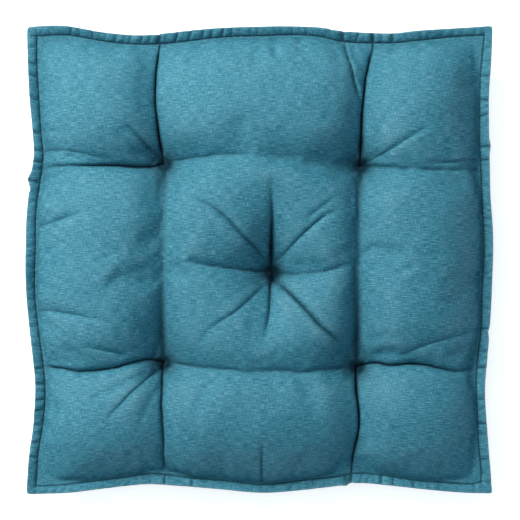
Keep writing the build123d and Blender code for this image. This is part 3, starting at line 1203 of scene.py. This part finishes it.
def floor_material():
    """A pale studio table, lit a little from within so that shadows stay pale."""
    material, tree, shader = new_material("studio_floor")
    tone = noise(object_places(tree), 3.0)
    put(shader, {
        "Base Color": ramp(tone, (0.3, (0.93, 0.93, 0.93)), (0.7, (0.95, 0.95, 0.95))),
        "Roughness": 0.9,
        "Specular IOR Level": 0.1,
        "Emission Color": (1, 0.94, 0.92, 1),
        "Emission Strength": 0.62,
    })
    return material


canvas = canvas_material()
sewing = thread_material("sewing_thread_spun", srgb(4, 38, 50), srgb(14, 62, 78), 900.0)
twine = thread_material("waxed_twine", srgb(4, 24, 32), srgb(12, 46, 58), 420.0)
fibre = fibre_material()

# ---- The pieces ----


def stands_for(piece, material, node_name):
    """Gives a piece its material and its place in the frame."""
    piece.data.materials.append(material)
    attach(piece, "root")
    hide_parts(node_name)


top_cloth = panel_object("canvas_top", TOP_FACE, TOP_OPEN, 1, top_relief)
stands_for(top_cloth, canvas, "top_panel")

bottom_cloth = panel_object("canvas_bottom", BOTTOM_FACE, BOTTOM_OPEN, -1, bottom_relief)
stands_for(bottom_cloth, canvas, "bottom_panel")

filling = filling_object("fibre_wadding_body")
stands_for(filling, fibre, "fibre_filling")

# At the back left corner both runs of topstitching cross and go on towards the edge.
OVERRUN = {"front": (0, 0), "right": (0, 0), "back": (0, 8), "left": (8, 0)}

for side, overrun in OVERRUN.items():
    upper = side_route(side, STITCH_OUT, Z_TOP, 0.3, overrun)
    lower = side_route(side, STITCH_OUT, Z_BOTTOM, -0.3)
    seam = side_route(side, SEAM_OUT, MID + CURL, 0.0)
    for name, node_name, run in (
        ("needle_stitches", "topstitch_needle_thread", stitches(upper, 1, STITCH, STITCH_RADIUS, 0.74)),
        ("bobbin_stitches", "topstitch_bobbin_thread", stitches(lower, -1, STITCH, STITCH_RADIUS, 0.74)),
        ("seam_stitches", "edge_seam_thread", stitches(seam, 1, SEAM_STITCH, SEAM_RADIUS, 0.9, 5)),
    ):
        stands_for(make_object(f"{name}_{side}", *run), sewing, f"{node_name}_{side}")

for key, (x, y) in TUFTS.items():
    stands_for(tie_object(f"twine_tie_{key}", x, y), twine, f"tuft_tie_{key}")

# ---- Floor, lights and camera ----

CAMERA_HEIGHT = 3.2
VIEW_WIDTH = 0.668  # how much the view takes in at the cushion's flange
SENSOR = 36.0  # width of the camera's sensor

bpy.ops.mesh.primitive_plane_add(size=14.0, location=(0, 0, -0.0002))
ground = bpy.context.active_object
ground.name = "studio_floor"
ground.data.materials.append(floor_material())
ground.visible_glossy = False


def area_light(name, place, size, power, colour=(1, 1, 1)):
    """A soft square light that points at the cushion."""
    data = bpy.data.lights.new(name, "AREA")
    data.shape = "SQUARE"
    data.size = size
    data.energy = power
    data.color = colour
    light = bpy.data.objects.new(name, data)
    light.location = place
    x, y, z = place
    light.rotation_euler = (atan2((x * x + y * y) ** 0.5, z), 0, atan2(y, x) + pi / 2)
    bpy.context.collection.objects.link(light)


area_light("key_light", (-1.75, 1.8, 2.2), 1.4, 180, (1.0, 0.9, 0.81))
area_light("fill_light", (-0.4, 0.4, 3.6), 2.2, 20)

# The camera sees a white backdrop. A dimmer, cooler sky lights the scene.
world = bpy.data.worlds.new("studio")
world.use_nodes = True
sky_tree = world.node_tree
sky = sky_tree.nodes["Background"]
put(sky, {0: (0.7, 0.93, 1.0, 1), 1: 0.51})
white = node(sky_tree, "ShaderNodeBackground", {0: (1, 1, 1, 1), 1: 0.97})
seen = node(sky_tree, "ShaderNodeLightPath", {}).outputs["Is Camera Ray"]
choice = node(sky_tree, "ShaderNodeMixShader", {0: seen, 1: sky.outputs[0], 2: white.outputs[0]})
put(sky_tree.nodes["World Output"], {0: choice.outputs[0]})
world.cycles_visibility.glossy = False
scene = bpy.context.scene
scene.world = world
scene.view_settings.view_transform = "Standard"

camera_data = bpy.data.cameras.new("camera")
camera_data.sensor_width = SENSOR
camera_data.lens = SENSOR * (CAMERA_HEIGHT - MID * MM) / VIEW_WIDTH
camera_data.clip_end = 50
camera = bpy.data.objects.new("camera", camera_data)
camera.location = (0, 0, CAMERA_HEIGHT)
bpy.context.collection.objects.link(camera)
scene.camera = camera
